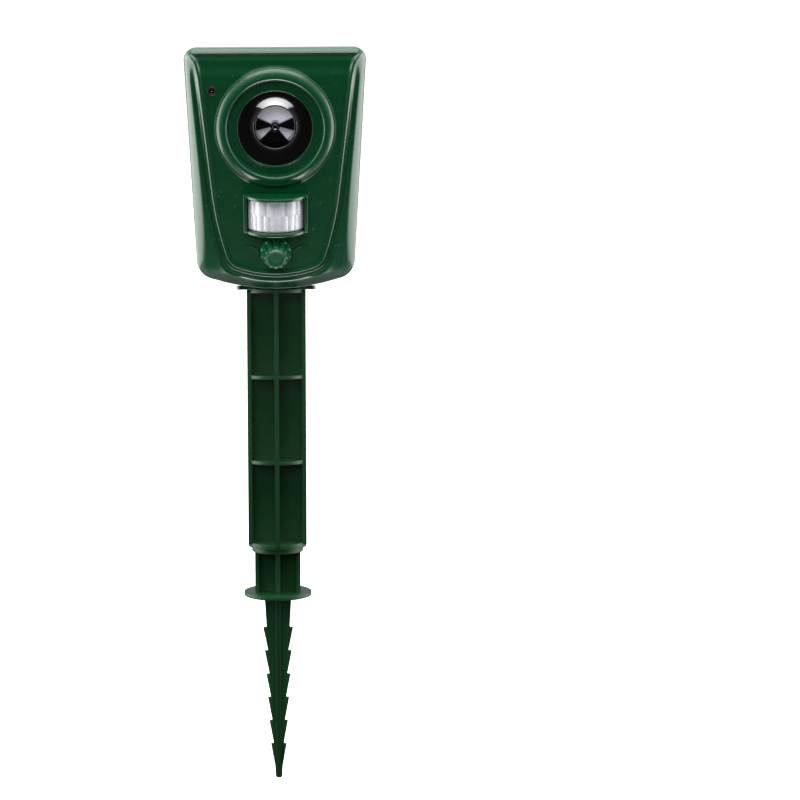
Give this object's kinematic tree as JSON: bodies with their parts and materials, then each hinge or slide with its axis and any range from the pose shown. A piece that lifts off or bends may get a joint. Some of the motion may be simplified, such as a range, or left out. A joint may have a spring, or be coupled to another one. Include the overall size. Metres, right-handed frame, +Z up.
{
  "type": "ultrasonic pest repeller",
  "caption": "Leaning wedge-shaped green head with a round black ultrasonic horn, motion sensor window and knob, on a ribbed two-piece stake with a barbed ground spike.",
  "frame": {"origin": "centre of the ground flange's underside, on the stake's axis, where it rests on the soil", "axes": "+Z up along the stake, +X to a viewer's right, -Y the way the head faces"},
  "size_m": [0.1014, 0.0883, 0.4337],
  "materials": {
    "stake_plastic": "satin moulded, darker green",
    "head_plastic": "semi-gloss moulded green",
    "knob_plastic": "semi-gloss moulded green",
    "seal_rubber": "matt",
    "solar_board": "satin",
    "solar_cells": "polycrystalline blue",
    "clear_cover": "clear gloss",
    "gloss_black": "mirror gloss",
    "diaphragm": "satin",
    "brass": "satin",
    "black_plastic": "satin",
    "screw_steel": "zinc plated",
    "lens_plastic": "milky white",
    "metal_can": "satin",
    "led_red": "tinted clear",
    "circuit_board": "solder mask",
    "transformer": "taped winding",
    "capacitor": "sleeve",
    "white_plastic": "satin",
    "cell_wrap": "printed wrap without text",
    "wire_cover": "insulation"
  },
  "bodies": {
    "ground_spike": {"ground_spike": "stake_plastic"},
    "upper_stake": {"upper_stake": "stake_plastic"},
    "head": {"stake_socket": "head_plastic", "front_shell": "head_plastic", "rear_shell": "head_plastic", "shell_gasket": "seal_rubber", "roof_frame": "head_plastic", "roof_gasket": "seal_rubber", "solar_board": "solar_board", "solar_cells": "solar_cells", "solar_cover": "clear_cover", "speaker_horn": "gloss_black", "phase_plug": "gloss_black", "speaker_diaphragm": "diaphragm", "piezo_disc": "brass", "speaker_can": "black_plastic", "speaker_gasket": "seal_rubber", "speaker_screws": "screw_steel", "pir_lens": "lens_plastic", "pir_retainer": "black_plastic", "pir_sensor": "metal_can", "led_holder": "black_plastic", "indicator_led": "led_red", "potentiometer": "metal_can", "knob_seal": "seal_rubber", "main_board": "circuit_board", "board_screws": "screw_steel", "driver_transformer": "transformer", "capacitors": "capacitor", "controller_chip": "black_plastic", "wire_headers": "white_plastic", "battery_tray": "black_plastic", "battery_cells": "cell_wrap", "contact_springs": "screw_steel", "contact_plates": "screw_steel", "power_switch": "metal_can", "dc_jack": "black_plastic", "housing_screws": "screw_steel", "speaker_leads": "wire_cover", "battery_leads": "wire_cover", "solar_leads": "wire_cover", "led_leads": "wire_cover"},
    "knob": {"sensitivity_knob": "knob_plastic", "pot_shaft": "metal_can"},
    "battery_door": {"battery_door": "head_plastic", "battery_door_seal": "seal_rubber", "battery_door_screws": "screw_steel"},
    "switch_slider": {"switch_slider": "black_plastic"},
    "jack_cover": {"jack_cover": "seal_rubber"}
  },
  "joints": [
    {"name": "stake_pull", "type": "slide", "parent": "ground_spike", "child": "upper_stake", "axis": [0, 0, 1], "range_m": [0, 0.03]},
    {"name": "head_pull", "type": "slide", "parent": "upper_stake", "child": "head", "axis": [0, 0, 1], "range_m": [0, 0.03]},
    {"name": "knob_turn", "type": "hinge", "parent": "head", "child": "knob", "pos_m": [0, -0.02909, 0.20664], "axis": [0, -0.9563, -0.2924], "range_deg": [-135, 135]},
    {"name": "door_pull", "type": "slide", "parent": "head", "child": "battery_door", "axis": [0, 1, 0], "range_m": [0, 0.04]},
    {"name": "switch_slide", "type": "slide", "parent": "head", "child": "switch_slider", "axis": [1, 0, 0], "range_m": [0, 0.004]},
    {"name": "jack_cover_swing", "type": "hinge", "parent": "head", "child": "jack_cover", "pos_m": [0.022, 0.0223, 0.221], "axis": [1, 0, 0], "range_deg": [0, 110]}
  ]
}
